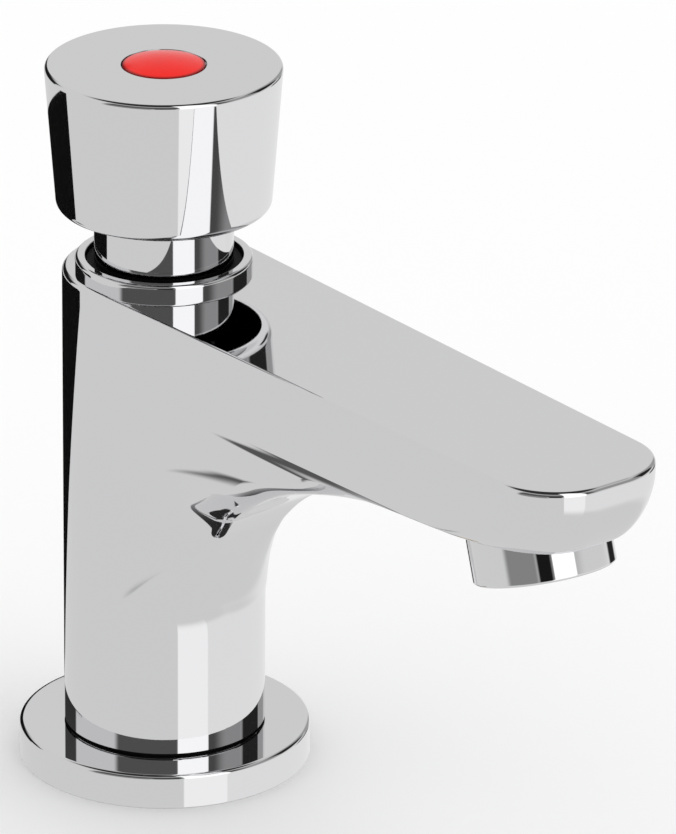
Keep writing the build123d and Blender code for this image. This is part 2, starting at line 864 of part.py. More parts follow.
# Outlet housing, square to its leaning axis, with a lip that keeps the insert in
with BuildPart() as nozzle_housing:
    with BuildSketch(leaning(0)):
        Circle(nozzle_radius)
    extrude(amount=nozzle_collar)
    with BuildSketch(leaning(nozzle_collar)):
        Circle(nozzle_thread_radius)
    extrude(amount=nozzle_thread_length)
    with BuildSketch(leaning(nozzle_lip)):
        Circle(nozzle_bore)
    extrude(amount=nozzle_top - nozzle_lip + overrun, mode=Mode.SUBTRACT)
    with BuildSketch(leaning(-overrun)):
        Circle(nozzle_bore - nozzle_lip_width)
    extrude(amount=nozzle_lip + 2 * overrun, mode=Mode.SUBTRACT)
    rims = nozzle_housing.edges().filter_by(GeomType.CIRCLE).sort_by(Axis.Z)
    outer_rims = rims.filter_by(lambda edge: abs(edge.radius - nozzle_radius) < ring_gap)
    fillet(outer_rims[0], radius=nozzle_edge)
save(nozzle_housing, "nozzle_housing")

with BuildPart() as nozzle_seal:
    with BuildSketch(leaning(nozzle_collar)):
        Circle(nozzle_thread_radius + nozzle_fit + nozzle_seal_width)
        Circle(nozzle_thread_radius + ring_gap, mode=Mode.SUBTRACT)
    extrude(amount=nozzle_seal_height)
save(nozzle_seal, "nozzle_seal")

# Spray insert: a plate of holes with a rim above it
insert_radius = nozzle_bore - running_gap
with BuildPart() as spray_insert:
    with BuildSketch(leaning(nozzle_lip)):
        Circle(insert_radius)
    extrude(amount=insert_height)
    with BuildSketch(leaning(nozzle_lip + insert_web)):
        Circle(insert_radius - insert_web)
    extrude(amount=insert_height, mode=Mode.SUBTRACT)
    with BuildSketch(leaning(nozzle_lip)):
        Circle(insert_hole_radius)
        for ring_share, hole_count in insert_ring_shares:
            with PolarLocations(ring_share * insert_radius, hole_count):
                Circle(insert_hole_radius)
    extrude(amount=insert_web, mode=Mode.SUBTRACT)
save(spray_insert, "spray_insert")

with BuildPart() as flow_regulator:
    with BuildSketch(leaning(insert_top)):
        Circle(insert_radius)
        Circle(regulator_bore, mode=Mode.SUBTRACT)
        with PolarLocations(insert_radius / 2 + regulator_slot_radius, regulator_slots):
            Circle(regulator_slot_radius, mode=Mode.SUBTRACT)
    extrude(amount=regulator_height)
save(flow_regulator, "flow_regulator")

# Gauze: a thin disc with square holes inside a plain rim
screen_grid = GridLocations(screen_pitch, screen_pitch, screen_columns, screen_columns)
screen_places = [
    place for place in screen_grid.local_locations
    if place.position.length < insert_radius - screen_pitch
]
with BuildPart() as outlet_screen:
    with BuildSketch(leaning(regulator_top)):
        Circle(insert_radius)
    extrude(amount=screen_height)
    with BuildSketch(leaning(regulator_top)):
        with Locations(*screen_places):
            Rectangle(screen_hole, screen_hole)
    extrude(amount=screen_height, mode=Mode.SUBTRACT)
save(outlet_screen, "outlet_screen")
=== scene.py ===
import json
import math

import bmesh
import bpy
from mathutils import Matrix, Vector


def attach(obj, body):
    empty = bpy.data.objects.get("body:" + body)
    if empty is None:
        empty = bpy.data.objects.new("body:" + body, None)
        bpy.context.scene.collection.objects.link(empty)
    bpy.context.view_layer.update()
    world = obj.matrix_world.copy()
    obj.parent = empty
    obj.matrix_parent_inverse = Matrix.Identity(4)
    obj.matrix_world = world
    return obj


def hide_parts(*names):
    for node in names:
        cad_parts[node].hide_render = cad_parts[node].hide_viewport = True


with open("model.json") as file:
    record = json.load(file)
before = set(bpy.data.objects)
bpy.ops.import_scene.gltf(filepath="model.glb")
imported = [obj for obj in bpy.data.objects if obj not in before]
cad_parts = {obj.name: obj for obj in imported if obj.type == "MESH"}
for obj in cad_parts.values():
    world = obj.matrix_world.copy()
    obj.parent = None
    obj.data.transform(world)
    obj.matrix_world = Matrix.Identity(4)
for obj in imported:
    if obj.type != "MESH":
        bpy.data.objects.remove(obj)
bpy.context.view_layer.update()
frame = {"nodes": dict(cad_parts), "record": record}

# Dressing of the push timed tap: its chromed skins, the thread on its tail, finishes and studio.
# Sizes in the dictionaries are in millimetres, angles in degrees.
mm = 0.001
scene = bpy.context.scene
scene.view_settings.view_transform = "Standard"


class Signal:
    # A node's output that can be written into sums. Made with no socket, it starts a tree.
    def __init__(self, tree, socket=None):
        self.tree = tree
        self.socket = socket

    def node(self, kind, settings=None, inputs=None, output=0):
        made = self.tree.nodes.new(kind)
        for name, value in (settings or {}).items():
            if name == "stops":
                placeStops(made.color_ramp, value)
            else:
                setattr(made, name, value)
        for name, value in (inputs or {}).items():
            if isinstance(value, Signal):
                self.tree.links.new(value.socket, made.inputs[name])
            else:
                made.inputs[name].default_value = value
        return Signal(self.tree, made.outputs[output] if made.outputs else None)

    def out(self, name):
        return Signal(self.tree, self.socket.node.outputs[name])

    def calc(self, operation, *values):
        return self.node("ShaderNodeMath", {"operation": operation}, dict(enumerate(values)))

    def __add__(self, other):
        return self.calc("ADD", self, other)

    def __radd__(self, other):
        return self.calc("ADD", other, self)

    def __sub__(self, other):
        return self.calc("SUBTRACT", self, other)

    def __rsub__(self, other):
        return self.calc("SUBTRACT", other, self)

    def __mul__(self, other):
        return self.calc("MULTIPLY", self, other)

    def __rmul__(self, other):
        return self.calc("MULTIPLY", other, self)

    def __truediv__(self, other):
        return self.calc("DIVIDE", self, other)


def placeStops(ramp, stops):
    while len(ramp.elements) < len(stops):
        ramp.elements.new(0.5)
    for element, (place, colour) in zip(ramp.elements, stops):
        element.position = place
        element.color = (*colour, 1)


def band(value, low, high, softLow, softHigh):
    # 1 between low and high, with a soft edge on each side
    rise = value.node("ShaderNodeMapRange", {"interpolation_type": "SMOOTHSTEP"},
                      {"Value": value, "From Min": low - softLow, "From Max": low + softLow})
    fall = value.node("ShaderNodeMapRange", {"interpolation_type": "SMOOTHSTEP"},
                      {"Value": value, "From Min": high - softHigh, "From Max": high + softHigh})
    return rise * (1 - fall)


# Camera, at the photograph's place

lens = {
    "place": (-0.97138, -1.28953, 0.73516), "turn": (67.5491, -0.3187, -38.0117), "length": 402.9,
    "sensor": 36, "near": 0.05, "far": 50,
}


def setCamera():
    cameraData = bpy.data.cameras.new("photoCamera")
    cameraData.lens = lens["length"]
    cameraData.sensor_width = lens["sensor"]
    cameraData.clip_start = lens["near"]
    cameraData.clip_end = lens["far"]
    camera = bpy.data.objects.new("photoCamera", cameraData)
    camera.location = lens["place"]
    camera.rotation_euler = [math.radians(angle) for angle in lens["turn"]]
    scene.collection.objects.link(camera)
    scene.camera = camera


setCamera()
print("camera set")


# Studio: what polished metal mirrors is painted on the world by compass and height, as cards,
# a strip light and dark cloths would stand round a photographer's table

studio = {
    "facing": 233.0,        # compass of the camera as seen from the tap
    "plain": 0.70,          # the tent's own grey
    "softLight": 0.96,      # what dull surfaces receive from all round
    # each card: compass from, to, height from, to, soft edges left, right, below and above, grey
    "cards": [
        # round the camera, then far back on the left
        (-58, 15, 4, 45, 4, 2, 4, 8, 0.10),
        (-168, -124, -3, 28, 3, 2, 3, 5, 0.01),
        # the right side, from grey to black and back to grey
        (52, 100, 8, 45, 1, 4, 4, 8, 0.32),
        (51, 66, 8, 45, 1, 9, 4, 8, 0.08),
        (100, 137, 8, 45, 3, 3, 4, 8, 0.02),
        (137, 157, -3, 45, 3, 4, 3, 8, 0.36),
        # pale cloth below the right side
        (51, 200, -33, -8, 1, 1, 4, 4, 0.84),
        # dark ceiling that the flange's top mirrors
        (-200, 200, 54, 95, 1, 1, 6, 1, 0.03),
        # bands level with the outlet: left of the camera, at it, and on the right
        (-58, -10, -16, 3, 5, 4, 3, 2, 0.26),
        (-9, 12, -8, 12, 2, 2, 3, 2, 0.01),
        (124, 150, -19, -7, 3, 5, 3, 2, 0.02),
        # below on the left, for the dark line along the spout's lower edge
        (-127, -113.5, -42, -34, 3, 1.5, 2, 2, 0.10),
        # upright strip light right of the camera
        (15, 51, -34, 72, 0.6, 1.0, 7, 4, 1.0),
        (15, 51, -10, 70, 0.6, 1.0, 4, 10, 1.3),
    ],
}


def paintWorld():
    world = bpy.data.worlds.new("studioWorld")
    world.use_nodes = True
    scene.world = world
    world.node_tree.nodes.clear()
    start = Signal(world.node_tree)
    direction = start.node("ShaderNodeTexCoord", output="Generated")
    turned = start.node("ShaderNodeVectorRotate", {"rotation_type": "Z_AXIS"},
                        {"Vector": direction, "Angle": -math.radians(studio["facing"])})
    x = start.node("ShaderNodeSeparateXYZ", inputs={"Vector": turned}, output="X")
    compass = start.calc("ARCTAN2", x.out("Y"), x) * math.degrees(1)
    height = start.calc("ARCSINE", x.out("Z")) * math.degrees(1)
    grey = None
    for left, right, foot, top, softLeft, softRight, softFoot, softTop, level in studio["cards"]:
        card = band(compass, left, right, softLeft, softRight) * band(height, foot, top, softFoot, softTop)
        under = studio["plain"] if grey is None else grey
        grey = under * (1 - card) + card * level
    path = start.node("ShaderNodeLightPath", output="Is Camera Ray")
    glossy = path.out("Is Glossy Ray")
    strength = path + (1 - path) * (glossy * grey + (1 - glossy) * studio["softLight"])
    light = start.node("ShaderNodeBackground", inputs={"Color": (1, 1, 1, 1), "Strength": strength})
    start.node("ShaderNodeOutputWorld", inputs={"Surface": light})


paintWorld()

lamp = {"turn": (28, 14, 0), "width": 34, "power": 0.35}


def hangLamp():
    sun = bpy.data.lights.new("softLamp", "SUN")
    sun.energy = lamp["power"]
    sun.angle = math.radians(lamp["width"])
    hung = bpy.data.objects.new("softLamp", sun)
    hung.rotation_euler = [math.radians(angle) for angle in lamp["turn"]]
    hung.visible_glossy = False
    scene.collection.objects.link(hung)


hangLamp()


def finish(name):
    material = bpy.data.materials.new(name)
    material.use_nodes = True
    material.node_tree.nodes.clear()
    return material, Signal(material.node_tree)


tableLook = {"reach": 6.0, "colour": (0.94, 0.94, 0.94)}


def layTable():
    # A pale table top that polished metal looks through, so that it mirrors the studio alone
    material, start = finish("paleTable")
    surface = start.node("ShaderNodeBsdfDiffuse", inputs={"Color": (*tableLook["colour"], 1)})
    clear = start.node("ShaderNodeBsdfTransparent")
    glossy = start.node("ShaderNodeLightPath", output="Is Glossy Ray")
    below = start.node("ShaderNodeNewGeometry", output="Backfacing")
    hidden = start.calc("MAXIMUM", glossy, below)
    top = start.node("ShaderNodeMixShader", inputs={0: hidden, 1: surface, 2: clear})
    start.node("ShaderNodeOutputMaterial", inputs={"Surface": top})
    table = bpy.data.meshes.new("tableTop")
    reach = tableLook["reach"]
    table.from_pydata([(-reach, -reach, 0), (reach, -reach, 0), (reach, reach, 0), (-reach, reach, 0)], [],
                      [(0, 1, 2, 3)])
    table.materials.append(material)
    placed = bpy.data.objects.new("tableTop", table)
    scene.collection.objects.link(placed)


layTable()

# A black card bent round behind the tap: its foot's height at each compass point, from the left round
# to the back
cardSizes = {
    "radius": 160, "top": 69, "foot": [(128, 35), (99, -8), (76, -48), (48, -70)], "steps": 40,
    "colour": (0.006, 0.006, 0.006),
}


def bendCard():
    material, start = finish("blackCard")
    black = start.node("ShaderNodeBsdfDiffuse", inputs={"Color": (*cardSizes["colour"], 1)})
    start.node("ShaderNodeOutputMaterial", inputs={"Surface": black})
    feet = cardSizes["foot"]
    points, faces = [], []
    for step in range(cardSizes["steps"] + 1):
        angle = feet[0][0] + (feet[-1][0] - feet[0][0]) * step / cardSizes["steps"]
        span = next(i for i in range(len(feet) - 1) if angle >= feet[i + 1][0] - 0.001)
        share = (feet[span][0] - angle) / (feet[span][0] - feet[span + 1][0])
        foot = feet[span][1] + (feet[span + 1][1] - feet[span][1]) * share
        x, y = [cardSizes["radius"] * turn(math.radians(angle)) for turn in (math.cos, math.sin)]
        points += [(x * mm, y * mm, foot * mm), (x * mm, y * mm, cardSizes["top"] * mm)]
        if step:
            faces.append((2 * step - 2, 2 * step, 2 * step + 1, 2 * step - 1))
    mesh = bpy.data.meshes.new("blackCard")
    mesh.from_pydata(points, [], faces)
    mesh.materials.append(material)
    card = bpy.data.objects.new("blackCard", mesh)
    card.visible_camera = card.visible_diffuse = card.visible_shadow = card.visible_transmission = False
    scene.collection.objects.link(card)


bendCard()
print("studio built")


# Finishes

chromeLook = {
    "colour": (0.83, 0.83, 0.84), "rough": 0.025,
    "smudge": 0.035, "smudgeScale": 45, "smudgeRange": (0.55, 0.8),
    "wave": 0.02, "waveScale": 60, "waveDepth": 0.2,
    # gaps painted near black as shade, with a rougher finish, given as reach from the axis and height: round
    # the neck, and over the flange
    "gaps": [(14.74, 99.2, 100.72), (18.96, 6.5, 7.26)], "gapPaintedShade": (0.02, 0.02, 0.02), "gapRough": 0.6,
}


def makeChrome():
    material, start = finish("polishedChrome")
    where = start.node("ShaderNodeTexCoord", output="Object")
    smudge = start.node("ShaderNodeTexNoise", inputs={
        "Vector": where, "Scale": chromeLook["smudgeScale"], "Detail": 4})
    clean, smudged = chromeLook["smudgeRange"]
    wiped = start.node("ShaderNodeMapRange", inputs={"Value": smudge, "From Min": clean, "From Max": smudged})
    ripple = start.node("ShaderNodeTexNoise", inputs={
        "Vector": where, "Scale": chromeLook["waveScale"], "Detail": 1})
    wavy = start.node("ShaderNodeBump", inputs={
        "Height": ripple, "Strength": chromeLook["wave"], "Distance": chromeLook["waveDepth"] * mm})
    height = start.node("ShaderNodeSeparateXYZ", inputs={0: where}, output="Z")
    flat = start.node("ShaderNodeVectorMath", {"operation": "MULTIPLY"}, {0: where, 1: (1, 1, 0)})
    reach = start.node("ShaderNodeVectorMath", {"operation": "LENGTH"}, {0: flat}, "Value")
    inShadedGap = None
    # mask of the gaps: shade is painted into the colour there and the finish is made rougher
    for rim, foot, top in chromeLook["gaps"]:
        gap = (start.calc("LESS_THAN", reach, rim * mm) * start.calc("GREATER_THAN", height, foot * mm)
               * start.calc("LESS_THAN", height, top * mm))
        inShadedGap = gap if inShadedGap is None else inShadedGap + gap
    # painted shade: the chrome's colour turns near black in the gaps
    colour = start.node("ShaderNodeMix", {"data_type": "RGBA"}, {
        0: inShadedGap, 6: (*chromeLook["colour"], 1), 7: (*chromeLook["gapPaintedShade"], 1)}, 2)
    shader = start.node("ShaderNodeBsdfPrincipled", inputs={
        "Base Color": colour,
        "Metallic": 1.0,
        "Roughness": chromeLook["rough"] + wiped * chromeLook["smudge"] + inShadedGap * chromeLook["gapRough"],
        "Normal": wavy,
    })
    start.node("ShaderNodeOutputMaterial", inputs={"Surface": shader})
    return material


# the disc's darker red is painted shade at its rim, where it sits in the knob's recess, and random cloudy
# tone elsewhere
redLook = {
    "rimShadeAndCloudRed": (0.22, 0.002, 0.001), "bright": (0.85, 0.006, 0.001), "rough": 0.10, "mirror": 1.33,
    "cloudScale": 260, "cloudShade": 0.25, "cloudRough": 0.06, "rim": (6.9, 7.65),
}


def makeRed():
    material, start = finish("redGlossPlastic")
    where = start.node("ShaderNodeTexCoord", output="Object")
    flat = start.node("ShaderNodeVectorMath", {"operation": "MULTIPLY"}, {0: where, 1: (1, 1, 0)})
    reach = start.node("ShaderNodeVectorMath", {"operation": "LENGTH"}, {0: flat}, "Value")
    cloud = start.node("ShaderNodeTexNoise", inputs={
        "Vector": where, "Scale": redLook["cloudScale"], "Detail": 3})
    # painted shade: darker towards the rim and on the side
    rimIn, rimOut = redLook["rim"]
    rim = start.node("ShaderNodeMapRange", {"interpolation_type": "SMOOTHSTEP"},
                     {"Value": reach, "From Min": rimIn * mm, "From Max": rimOut * mm})
    shade = start.calc("MAXIMUM", rim, (cloud - 0.5) * redLook["cloudShade"])
    colour = start.node("ShaderNodeMix", {"data_type": "RGBA"},
                        {0: shade, 6: (*redLook["bright"], 1), 7: (*redLook["rimShadeAndCloudRed"], 1)}, 2)
    shader = start.node("ShaderNodeBsdfPrincipled", inputs={
        "Base Color": colour,
        "Roughness": redLook["rough"] + cloud * redLook["cloudRough"],
        "IOR": redLook["mirror"],
    })
    start.node("ShaderNodeOutputMaterial", inputs={"Surface": shader})
    return material


turnedLook = {
    "ringScale": 30, "patchScale": 70, "patchRange": (0.45, 0.75), "patchShade": 0.6, "ringShade": 0.3,
    "bump": 0.25, "depth": 0.03,
}


def makeTurned(name, colour, dark, rough, grooves, polish):
    # Metal from the lathe: fine rings across the axis, a little dulled in patches
    material, start = finish(name)
    where = start.node("ShaderNodeTexCoord", output="Object")
    squeezed = start.node("ShaderNodeVectorMath", {"operation": "MULTIPLY"}, {0: where, 1: (1, 1, grooves)})
    rings = start.node("ShaderNodeTexNoise", inputs={
        "Vector": squeezed, "Scale": turnedLook["ringScale"], "Detail": 2})
    patches = start.node("ShaderNodeTexNoise", inputs={
        "Vector": where, "Scale": turnedLook["patchScale"], "Detail": 5})
    bright, dull = turnedLook["patchRange"]
    dulled = start.node("ShaderNodeMapRange", inputs={"Value": patches, "From Min": bright, "From Max": dull})
    shade = dulled * turnedLook["patchShade"] + rings * turnedLook["ringShade"]
    tint = start.node("ShaderNodeMix", {"data_type": "RGBA"}, {0: shade, 6: (*colour, 1), 7: (*dark, 1)}, 2)
    marks = start.node("ShaderNodeBump", inputs={
        "Height": rings, "Strength": turnedLook["bump"], "Distance": turnedLook["depth"] * mm})
    shader = start.node("ShaderNodeBsdfPrincipled", inputs={
        "Base Color": tint,
        "Metallic": 1.0,
        "Roughness": rough + shade * polish,
        "Normal": marks,
    })
    start.node("ShaderNodeOutputMaterial", inputs={"Surface": shader})
    return material


dullLook = {"cloudScale": 90, "bump": 0.3, "speckRough": 0.12}


def makeDull(name, colour, worn, rough, grain, depth):
    # Moulded plastic and rubber: a fine grain and a faint cloudiness
    material, start = finish(name)
    where = start.node("ShaderNodeTexCoord", output="Object")
    cloud = start.node("ShaderNodeTexNoise", inputs={
        "Vector": where, "Scale": dullLook["cloudScale"], "Detail": 4})
    speck = start.node("ShaderNodeTexNoise", inputs={"Vector": where, "Scale": grain, "Detail": 2})
    tint = start.node("ShaderNodeMix", {"data_type": "RGBA"}, {0: cloud, 6: (*colour, 1), 7: (*worn, 1)}, 2)
    bump = start.node("ShaderNodeBump", inputs={
        "Height": speck, "Strength": dullLook["bump"], "Distance": depth * mm})
    shader = start.node("ShaderNodeBsdfPrincipled", inputs={
        "Base Color": tint,
        "Roughness": rough + speck * dullLook["speckRough"],
        "Normal": bump,
    })
    start.node("ShaderNodeOutputMaterial", inputs={"Surface": shader})
    return material


chrome = makeChrome()
redPlastic = makeRed()
steel = makeTurned("stainlessSteel", (0.63, 0.63, 0.62), (0.42, 0.42, 0.42), 0.24, 12, 0.12)
brass = makeTurned("turnedBrass", (0.80, 0.62, 0.30), (0.50, 0.34, 0.14), 0.20, 16, 0.22)
whitePlastic = makeDull("whiteMouldedPlastic", (0.84, 0.84, 0.81), (0.76, 0.76, 0.72), 0.38, 1500, 0.01)
rubber = makeDull("blackRubber", (0.025, 0.025, 0.027), (0.05, 0.05, 0.052), 0.55, 900, 0.03)
finishes = {
    "chrome": chrome, "red_plastic": redPlastic, "steel": steel,
    "brass": brass, "white_plastic": whitePlastic, "rubber": rubber,
}
for subpart in frame["record"]["subparts"]:
    node = frame["nodes"][subpart["node"]]
    node.data.materials.clear()
    node.data.materials.append(finishes[subpart["material_slot"]])
print("finishes mixed")


# Making of meshes

meshing = {"weld": 0.0005, "thin": 0.0001, "corner": 32, "bodyCorner": 28, "guard": 0.05, "degreesPerStep": 7}


def closeUp(mesh, corner=meshing["corner"]):
    # Merge doubles, turn faces outwards, smooth all but the real edges
    soup = bmesh.new()
    soup.from_mesh(mesh)
    bmesh.ops.remove_doubles(soup, verts=soup.verts, dist=meshing["weld"] * mm)
    bmesh.ops.dissolve_degenerate(soup, edges=soup.edges, dist=meshing["thin"] * mm)
    bmesh.ops.recalc_face_normals(soup, faces=soup.faces)
    soup.to_mesh(mesh)
    soup.free()
    mesh.shade_smooth()
    mesh.set_sharp_from_angle(angle=math.radians(corner))


def seat(piece, body, slotName, *nodes):
    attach(piece, body)
    if nodes:
        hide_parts(*nodes)


def geometryTree(name, inputs):
    # An empty tree with named inputs; gives the tree and a signal for each input
    tree = bpy.data.node_groups.new(name, "GeometryNodeTree")
    tree.interface.new_socket("Geometry", in_out="INPUT", socket_type="NodeSocketGeometry")
    for label, kind in inputs:
        tree.interface.new_socket(label, in_out="INPUT", socket_type="NodeSocket" + kind)
    tree.interface.new_socket("Geometry", in_out="OUTPUT", socket_type="NodeSocketGeometry")
    entry = tree.nodes.new("NodeGroupInput")
    return tree, {socket.name: Signal(tree, socket) for socket in entry.outputs if socket.name}


def endTree(tree, shape, material):
    smooth = shape.node("GeometryNodeSetShadeSmooth", inputs={"Geometry": shape})
    whole = shape.node("GeometryNodeRealizeInstances", inputs={"Geometry": smooth})
    dressed = shape.node("GeometryNodeSetMaterial", inputs={"Geometry": whole, "Material": material})
    exit = tree.nodes.new("NodeGroupOutput")
    tree.links.new(dressed.socket, exit.inputs[0])


def grow(name, tree, values, points=()):
    # Runs a tree on bare points and keeps the plain mesh that comes out
    seed = bpy.data.meshes.new(name + "Seed")
    seed.from_pydata(points, [], [])
    piece = bpy.data.objects.new(name, seed)
    scene.collection.objects.link(piece)
    change = piece.modifiers.new("grow", "NODES")
    change.node_group = tree
    for item in tree.interface.items_tree:
        if item.in_out == "INPUT" and item.name in values:
            change[item.identifier] = values[item.name]
    shaped = piece.evaluated_get(bpy.context.evaluated_depsgraph_get())
    plain = bpy.data.meshes.new_from_object(shaped)
    piece.modifiers.remove(change)
    piece.data = plain
    plain.name = name
    bpy.data.meshes.remove(seed)
    closeUp(plain)
    return piece


def layRows(given):
    # A sheet with one row for each point of the section. Gives the sheet, how far round each place is and
    # the section's point there.
    section, columns = given["Geometry"], given["Steps"] + 1
    count = section.node("GeometryNodeAttributeDomainSize", {"component": "MESH"}, {"Geometry": section})
    sheet = section.node("GeometryNodeMeshGrid", {}, {
        "Size X": 1.0, "Size Y": 1.0, "Vertices X": count, "Vertices Y": columns})
    index = section.node("GeometryNodeInputIndex")
    row = section.calc("FLOOR", index / columns)
    point = section.node("GeometryNodeSampleIndex", {"data_type": "FLOAT_VECTOR", "domain": "POINT"}, {
        "Geometry": section, "Value": section.node("GeometryNodeInputPosition"), "Index": row})
    return sheet, (index - row * columns) / given["Steps"], point


def onCircle(radius, turn, height):
    return radius.node("ShaderNodeCombineXYZ", inputs={
        0: radius * radius.calc("COSINE", turn), 1: radius * radius.calc("SINE", turn), 2: height})


def turningTree():
    # Turns a row of points, given as radius and height, all the way round an axis that may lean
    tree, given = geometryTree("turnSection", [
        ("Steps", "Int"), ("Lean", "Float"), ("Place", "Vector"), ("Finish", "Material")])
    sheet, share, point = layRows(given)
    radius = point.node("ShaderNodeSeparateXYZ", inputs={0: point}, output="X")
    spun = onCircle(radius, share * math.tau, radius.out("Z"))
    leant = point.node("ShaderNodeVectorRotate", {"rotation_type": "X_AXIS"},
                       {"Vector": spun, "Angle": given["Lean"]})
    placed = point.node("ShaderNodeVectorMath", {"operation": "ADD"}, {0: leant, 1: given["Place"]})
    endTree(tree, point.node("GeometryNodeSetPosition", inputs={"Geometry": sheet, "Position": placed}),
            given["Finish"])
    return tree


def threadTree():
    # Winds a section upwards round the axis, right-handed, and lets it run out into the core at both ends
    tree, given = geometryTree("windThread", [
        ("Steps", "Int"), ("Turns", "Float"), ("Pitch", "Float"), ("Core", "Float"), ("Foot", "Float"),
        ("Runout", "Float"), ("Finish", "Material")])
    sheet, share, point = layRows(given)
    turns = share * given["Turns"]
    left = point.calc("MINIMUM", turns, given["Turns"] - turns)
    full = point.calc("MINIMUM", left * given["Runout"], 1.0)
    radius = point.node("ShaderNodeSeparateXYZ", inputs={0: point}, output="X")
    reach = given["Core"] + (radius - given["Core"]) * full
    height = given["Foot"] + turns * given["Pitch"] + radius.out("Z") * full
    wound = onCircle(reach, turns * math.tau, height)
    endTree(tree, point.node("GeometryNodeSetPosition", inputs={"Geometry": sheet, "Position": wound}),
            given["Finish"])
    return tree


turning = turningTree()
threading = threadTree()


def roundedSection(corners, guard=meshing["guard"]):
    # A closed section from (radius, height, rounding) in millimetres, as points for the turning tree.
    # A guard point beside each rounding keeps the flat next to it flat in the mirror.
    points = []
    for number, (radius, height, rounding) in enumerate(corners):
        here = Vector((radius, height))
        if rounding == 0:
            points.append(here)
            continue
        back = Vector(corners[number - 1][:2]) - here
        on = Vector(corners[(number + 1) % len(corners)][:2]) - here
        opening = back.angle(on)
        run = rounding / math.tan(opening / 2)
        back.normalize()
        on.normalize()
        centre = here + (back + on).normalized() * rounding / math.sin(opening / 2)
        first, last = here + back * run, here + on * run
        steps = max(4, round(math.degrees(math.pi - opening) / meshing["degreesPerStep"]))
        points.append(first + back * guard)
        spoke = first - centre
        sweep = spoke.angle_signed(last - centre)
        for step in range(steps + 1):
            angle = -sweep * step / steps
            points.append(centre + Vector((spoke.x * math.cos(angle) - spoke.y * math.sin(angle),
                                           spoke.x * math.sin(angle) + spoke.y * math.cos(angle))))
        points.append(last + on * guard)
    points.append(points[0])
    return [(point.x * mm, 0, point.y * mm) for point in points]


def turnPiece(name, corners, material, steps=224, lean=0.0, place=(0, 0, 0)):
    return grow(name, turning, {"Steps": steps, "Lean": math.radians(lean), "Place": place,
                                "Finish": material}, roundedSection(corners))


# Body: one smooth skin over foot, column, arch, spout and tip

bodySizes = {
    "column": 19.0, "flangeTop": 6.7, "footTop": 7.3, "top": 98.65,
    "reach": 131.4, "topEdge": 1.0, "topSteps": 10, "levels": 230, "passing": 0.3,
    # the foot's step back to the flange, and its small edge; gaps kept to the rows at foot and top
    "footInset": 0.5, "footEdge": 0.08, "footGap": 0.3, "topGap": 0.1, "wallGuard": 0.05, "flatGuard": 0.06,
    "backSteps": 44, "sideSteps": 30, "cornerSteps": 34, "frontSteps": 12,
    # height, reach, half width at the front, front corner's run across and along
    "outline": [
        (7.3, 19.0, 19.0, 18.99, 18.99), (19.7, 19.0, 19.0, 18.97, 18.97), (26.0, 19.0, 19.0, 18.99, 18.99),
        (30.0, 19.03, 18.98, 18.9, 18.9), (34.0, 19.15, 18.85, 18.4, 18.4), (38.0, 19.6, 18.2, 17.1, 17.1),
        (42.0, 20.6, 16.4, 14.2, 14.2), (46.0, 22.3, 13.6, 10.0, 10.0), (50.0, 24.4, 10.8, 6.0, 6.0),
        (52.0, 25.6, 9.8, 4.4, 4.4), (54.2, 26.9, 9.4, 3.4, 3.4), (56.2, 28.5, 9.6, 3.1, 3.3),
        (58.2, 30.3, 10.1, 3.1, 3.6), (60.2, 32.5, 10.8, 3.2, 4.2), (62.4, 35.5, 11.8, 3.4, 5.0),
        (64.7, 39.0, 12.9, 3.7, 6.2), (67.0, 42.6, 14.0, 4.0, 7.4), (69.1, 46.0, 15.0, 4.3, 8.7),
        (72.9, 53.3, 16.2, 4.8, 11.6), (76.1, 61.7, 16.7, 5.2, 14.8), (78.4, 70.1, 16.6, 5.7, 18.6),
        (80.4, 81.9, 16.4, 7.6, 23.0), (82.0, 97.7, 16.5, 11.2, 29.0), (83.2, 112.9, 16.4, 12.0, 28.5),
        (83.8, 121.8, 16.2, 12.4, 26.0), (84.7, 125.9, 16.1, 12.6, 23.5), (87.2, 128.6, 16.3, 12.9, 19.5),
        (91.1, 130.6, 16.35, 12.9, 15.6), (95.2, 131.4, 16.25, 12.75, 13.1), (98.65, 131.4, 16.2, 12.7, 12.7),
    ],
    # the bore from the top down, radius and height
    "bore": [(14.0, 98.65), (14.0, 84.15), (12.5, 84.15), (12.5, 50.15), (9.5, 50.15), (9.5, 31.15),
             (5.5, 31.15), (5.5, 22.0), (10.1, 22.0), (10.1, 6.7)],
}


def naturalCurve(stations, values):
    # Slopes' slopes of the smooth curve through the values, then the curve itself
    count = len(stations)
    gaps = [stations[i + 1] - stations[i] for i in range(count - 1)]
    bends, diagonal, right = [0.0] * count, [1.0] * count, [0.0] * count
    for i in range(1, count - 1):
        pull = (values[i + 1] - values[i]) / gaps[i] - (values[i] - values[i - 1]) / gaps[i - 1]
        share = gaps[i - 1] / diagonal[i - 1] if i > 1 else 0.0
        diagonal[i] = 2 * (gaps[i - 1] + gaps[i]) - share * gaps[i - 1]
        right[i] = 6 * pull - share * right[i - 1]
    for i in range(count - 2, 0, -1):
        bends[i] = (right[i] - gaps[i] * bends[i + 1]) / diagonal[i]

    def curve(station):
        i = min(max(sum(1 for s in stations if s <= station) - 1, 0), count - 2)
        a, b = stations[i + 1] - station, station - stations[i]
        gap = gaps[i]
        return ((bends[i] * a ** 3 + bends[i + 1] * b ** 3) / (6 * gap)
                + (values[i] / gap - bends[i] * gap / 6) * a
                + (values[i + 1] / gap - bends[i + 1] * gap / 6) * b)
    return curve


